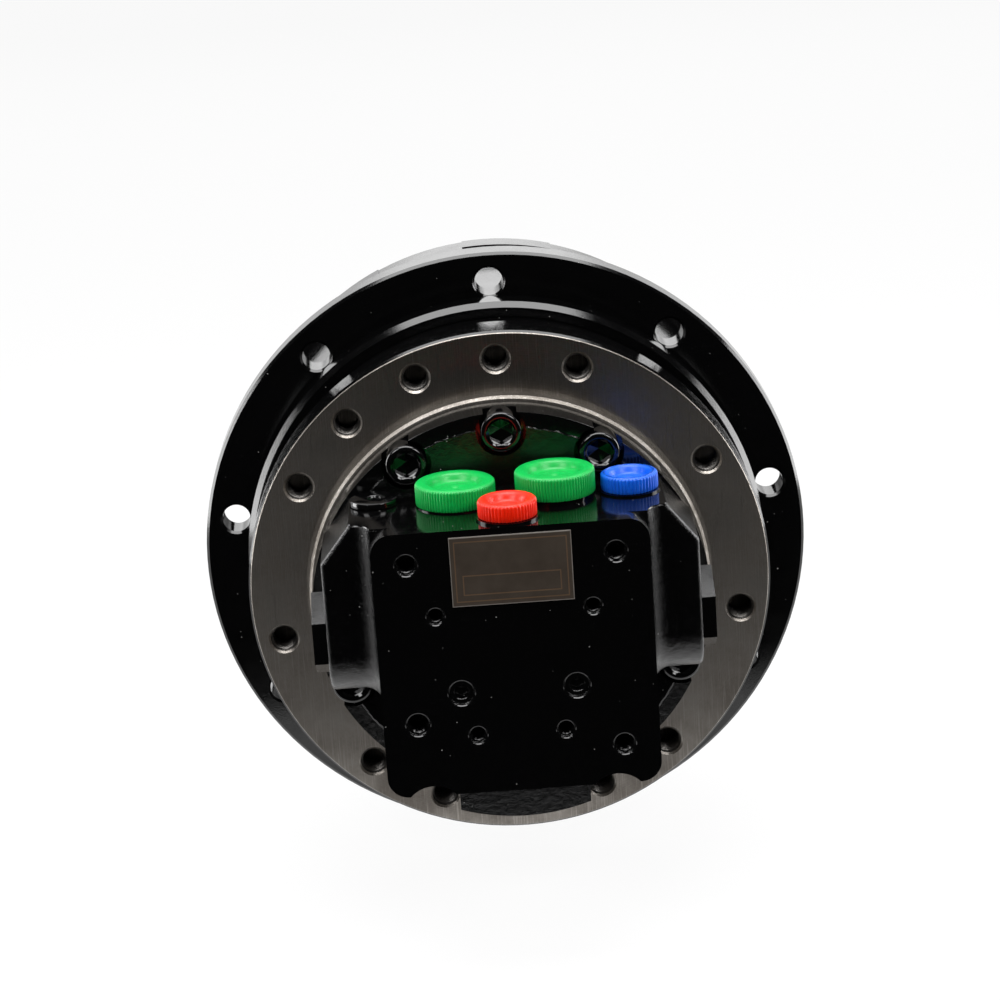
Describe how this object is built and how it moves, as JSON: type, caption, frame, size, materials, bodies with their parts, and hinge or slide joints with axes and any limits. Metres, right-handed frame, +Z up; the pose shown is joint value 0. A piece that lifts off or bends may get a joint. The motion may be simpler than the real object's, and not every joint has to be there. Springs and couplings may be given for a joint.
{
  "type": "excavator final drive",
  "caption": "Excavator final drive: swash-plate travel motor in a fixed spindle, planetary hub with a sprocket flange, port block with coloured transport caps.",
  "frame": {"origin": "on the drive axis, in the plane of the spindle's frame-mounting face", "axes": "+Y along the drive axis towards the gear cover, +Z up through the port face, +X to the right seen from the port block"},
  "size_m": [0.28, 0.2633, 0.28],
  "materials": {
    "black_gloss_paint": "gloss",
    "machined_steel": "machined, lightly oiled",
    "black_oxide_steel": "black oxide, oily sheen",
    "ground_steel": "ground",
    "bearing_steel": "polished",
    "gear_steel": "case hardened, ground flanks",
    "bronze": "satin",
    "seal_rubber": "matt",
    "friction_lining": "matt, sintered",
    "spring_steel": "satin",
    "green_plastic": "satin moulded",
    "red_plastic": "satin moulded",
    "blue_plastic": "satin moulded",
    "plate_bronze": "satin anodised, bare"
  },
  "bodies": {
    "spindle_body": {"spindle": "machined_steel", "rear_cover": "black_gloss_paint", "rear_cover_screws": "black_oxide_steel", "counterbalance_plugs": "black_oxide_steel", "gallery_plugs": "black_oxide_steel", "name_plate": "plate_bronze", "valve_plate": "bronze", "shaft_bearing_outer": "bearing_steel", "shaft_needle_bearing": "bearing_steel", "shaft_seal": "seal_rubber", "swash_pivot_balls": "bearing_steel", "brake_steel_plates": "ground_steel", "brake_springs": "spring_steel", "counterbalance_springs": "spring_steel", "two_speed_spring": "spring_steel", "main_bearing_inner": "bearing_steel", "bearing_nut": "black_oxide_steel", "face_seal_ring_fixed": "bearing_steel", "toric_ring_fixed": "seal_rubber", "stage_2_pins": "ground_steel", "planet_2_needles": "bearing_steel"},
    "hub_body": {"hub": "black_gloss_paint", "ring_gear": "black_gloss_paint", "gear_cover": "black_gloss_paint", "gear_cover_bolts": "black_oxide_steel", "gear_cover_plugs": "black_oxide_steel", "main_bearing_outer": "bearing_steel", "face_seal_ring_turning": "bearing_steel", "toric_ring_turning": "seal_rubber"},
    "roller_set": {"main_bearing_rollers": "bearing_steel"},
    "motor_shaft": {"drive_shaft": "ground_steel", "cylinder_barrel": "ground_steel", "pistons": "ground_steel", "shaft_bearing_inner": "bearing_steel", "brake_friction_discs": "friction_lining", "retainer_guide": "ground_steel", "sun_gear_1": "gear_steel"},
    "ball_set": {"shaft_bearing_balls": "bearing_steel"},
    "swash": {"swash_plate": "ground_steel"},
    "shoe_set": {"piston_shoes": "bronze", "retainer_plate": "ground_steel"},
    "speed_change_piston": {"control_piston": "ground_steel"},
    "brake_release": {"brake_piston": "ground_steel"},
    "carrier_body": {"carrier_1": "gear_steel", "carrier_1_pins": "ground_steel", "planet_1_needles": "bearing_steel", "sun_gear_2": "gear_steel"},
    "counterbalance": {"counterbalance_spool": "ground_steel"},
    "two_speed_valve": {"two_speed_spool": "ground_steel"},
    "cap_left": {"port_cap_left": "green_plastic"},
    "cap_right": {"port_cap_right": "green_plastic"},
    "cap_drain": {"drain_port_cap": "red_plastic"},
    "cap_pilot": {"pilot_port_cap": "blue_plastic"},
    "planet_1a": {"planet_gear_1a": "gear_steel"},
    "planet_1b": {"planet_gear_1b": "gear_steel"},
    "planet_1c": {"planet_gear_1c": "gear_steel"},
    "planet_2a": {"planet_gear_2a": "gear_steel"},
    "planet_2b": {"planet_gear_2b": "gear_steel"},
    "planet_2c": {"planet_gear_2c": "gear_steel"},
    "planet_2d": {"planet_gear_2d": "gear_steel"}
  },
  "joints": [
    {"name": "hub_turn", "type": "hinge", "parent": "spindle_body", "child": "hub_body", "pos_m": [0, 0.09, 0], "axis": [0, 1, 0], "continuous": true},
    {"name": "main_rollers_turn", "type": "hinge", "parent": "spindle_body", "child": "roller_set", "pos_m": [0, 0.07, 0], "axis": [0, 1, 0], "continuous": true},
    {"name": "carrier_1_turn", "type": "hinge", "parent": "spindle_body", "child": "carrier_body", "pos_m": [0, 0.133, 0], "axis": [0, 1, 0], "continuous": true},
    {"name": "shaft_turn", "type": "hinge", "parent": "spindle_body", "child": "motor_shaft", "pos_m": [0, 0.02, 0], "axis": [0, 1, 0], "continuous": true, "deforming": ["pistons"]},
    {"name": "shaft_balls_turn", "type": "hinge", "parent": "spindle_body", "child": "ball_set", "pos_m": [0, 0.0795, 0], "axis": [0, 1, 0], "continuous": true},
    {"name": "shoe_set_turn", "type": "hinge", "parent": "swash", "child": "shoe_set", "pos_m": [0, 0.06, 0], "axis": [0, 0.9659, -0.2588], "continuous": true},
    {"name": "planet_1a_turn", "type": "hinge", "parent": "carrier_body", "child": "planet_1a", "pos_m": [0, 0.146, 0.05625], "axis": [0, 1, 0], "continuous": true},
    {"name": "planet_1b_turn", "type": "hinge", "parent": "carrier_body", "child": "planet_1b", "pos_m": [0.04871, 0.146, -0.02813], "axis": [0, 1, 0], "continuous": true},
    {"name": "planet_1c_turn", "type": "hinge", "parent": "carrier_body", "child": "planet_1c", "pos_m": [-0.04871, 0.146, -0.02813], "axis": [0, 1, 0], "continuous": true},
    {"name": "planet_2a_turn", "type": "hinge", "parent": "spindle_body", "child": "planet_2a", "pos_m": [0, 0.117, 0.06], "axis": [0, 1, 0], "continuous": true},
    {"name": "planet_2b_turn", "type": "hinge", "parent": "spindle_body", "child": "planet_2b", "pos_m": [0.06, 0.117, 0], "axis": [0, 1, 0], "continuous": true},
    {"name": "planet_2c_turn", "type": "hinge", "parent": "spindle_body", "child": "planet_2c", "pos_m": [0, 0.117, -0.06], "axis": [0, 1, 0], "continuous": true},
    {"name": "planet_2d_turn", "type": "hinge", "parent": "spindle_body", "child": "planet_2d", "pos_m": [-0.06, 0.117, 0], "axis": [0, 1, 0], "continuous": true},
    {"name": "swash_tilt", "type": "hinge", "parent": "spindle_body", "child": "swash", "pos_m": [0, 0.072, 0], "axis": [1, 0, 0], "range_deg": [0, 7]},
    {"name": "control_piston_slide", "type": "slide", "parent": "spindle_body", "child": "speed_change_piston", "axis": [0, -1, 0], "range_m": [0, 0.00389]},
    {"name": "brake_piston_slide", "type": "slide", "parent": "spindle_body", "child": "brake_release", "axis": [0, -1, 0], "range_m": [0, 0.002], "deforming": ["brake_springs"]},
    {"name": "counterbalance_slide", "type": "slide", "parent": "spindle_body", "child": "counterbalance", "axis": [1, 0, 0], "range_m": [-0.006, 0.006], "deforming": ["counterbalance_springs"]},
    {"name": "two_speed_slide", "type": "slide", "parent": "spindle_body", "child": "two_speed_valve", "axis": [0, 0, -1], "range_m": [0, 0.005], "deforming": ["two_speed_spring"]},
    {"name": "port_cap_left_lift", "type": "slide", "parent": "spindle_body", "child": "cap_left", "axis": [0, 0, 1], "range_m": [0, 0.012]},
    {"name": "port_cap_right_lift", "type": "slide", "parent": "spindle_body", "child": "cap_right", "axis": [0, 0, 1], "range_m": [0, 0.012]},
    {"name": "drain_port_cap_lift", "type": "slide", "parent": "spindle_body", "child": "cap_drain", "axis": [0, 0, 1], "range_m": [0, 0.012]},
    {"name": "pilot_port_cap_lift", "type": "slide", "parent": "spindle_body", "child": "cap_pilot", "axis": [0, 0, 1], "range_m": [0, 0.012]}
  ],
  "couplings": [
    {"joint": "main_rollers_turn", "follows": "hub_turn", "ratio": 0.55178},
    {"joint": "carrier_1_turn", "follows": "hub_turn", "ratio": -3.8},
    {"joint": "shaft_turn", "follows": "hub_turn", "ratio": -29.857},
    {"joint": "shaft_balls_turn", "follows": "hub_turn", "ratio": -11.75},
    {"joint": "shoe_set_turn", "follows": "hub_turn", "ratio": -29.857},
    {"joint": "planet_1a_turn", "follows": "hub_turn", "ratio": 11.768},
    {"joint": "planet_1b_turn", "follows": "hub_turn", "ratio": 11.768},
    {"joint": "planet_1c_turn", "follows": "hub_turn", "ratio": 11.768},
    {"joint": "planet_2a_turn", "follows": "hub_turn", "ratio": 2.7143},
    {"joint": "planet_2b_turn", "follows": "hub_turn", "ratio": 2.7143},
    {"joint": "planet_2c_turn", "follows": "hub_turn", "ratio": 2.7143},
    {"joint": "planet_2d_turn", "follows": "hub_turn", "ratio": 2.7143},
    {"joint": "control_piston_slide", "follows": "swash_tilt", "m_per_rad": 0.0315}
  ]
}
